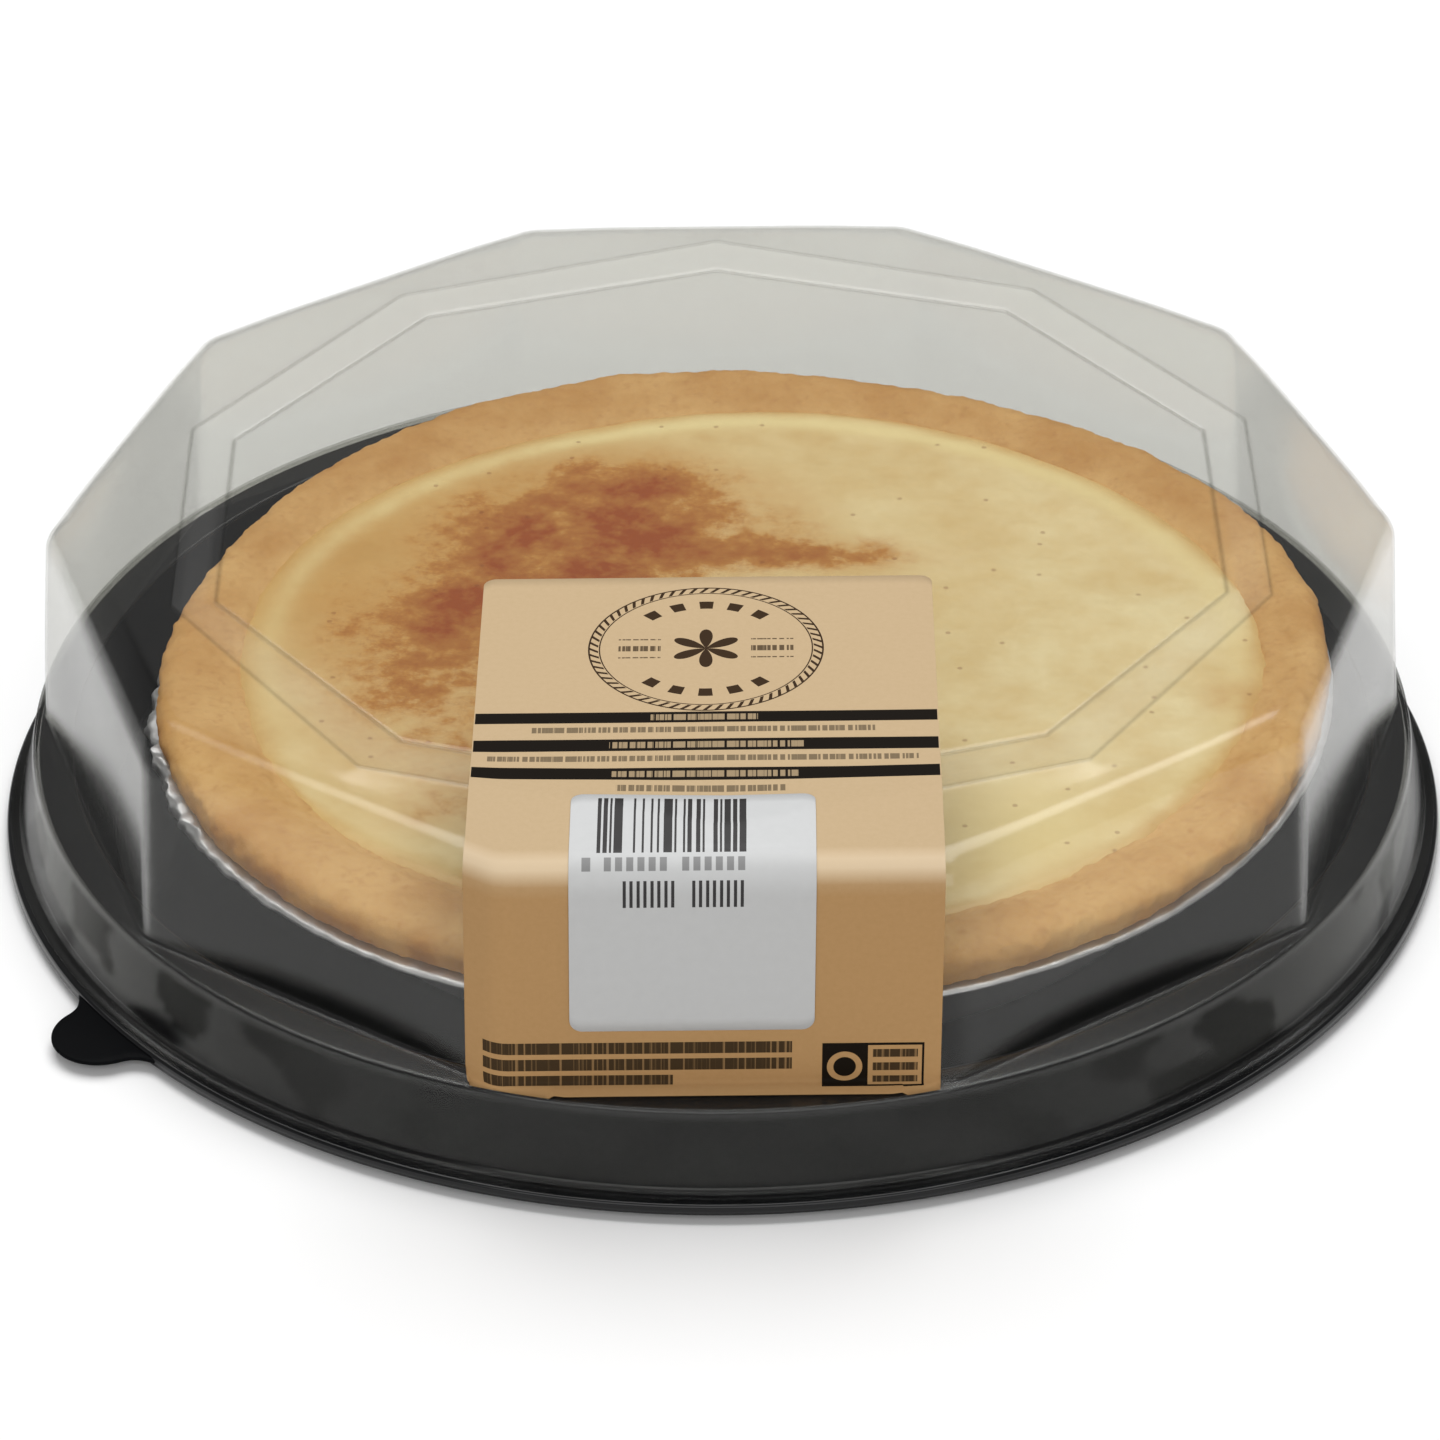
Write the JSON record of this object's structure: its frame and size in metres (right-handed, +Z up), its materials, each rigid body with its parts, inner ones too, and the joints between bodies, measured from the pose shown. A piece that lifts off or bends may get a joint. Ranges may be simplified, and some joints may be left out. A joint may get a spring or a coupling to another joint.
{
  "type": "packaged milk tart",
  "caption": "Round milk tart dusted with cinnamon in a foil dish, on a black tray under a clear faceted dome lid with a folded paper label.",
  "frame": {"origin": "middle of the tray's floor, on its underside", "axes": "+Z up, -Y towards the folded label at the front, +X to the right"},
  "size_m": [0.2734, 0.2734, 0.0645],
  "materials": {
    "tray_black": "glossy thermoformed sheet",
    "lid_clear": "clear thermoformed sheet",
    "tin_foil": "bright foil",
    "baked_pastry": "baked pastry",
    "milk_custard": "set custard dusted with cinnamon",
    "kraft_paper": "brown label paper",
    "white_paper": "white sticker paper"
  },
  "bodies": {
    "root": {"base_tray": "tray_black", "lid": "lid_clear", "foil_tin": "tin_foil", "pastry_crust": "baked_pastry", "custard": "milk_custard", "label": "kraft_paper", "price_sticker": "white_paper"}
  },
  "joints": []
}
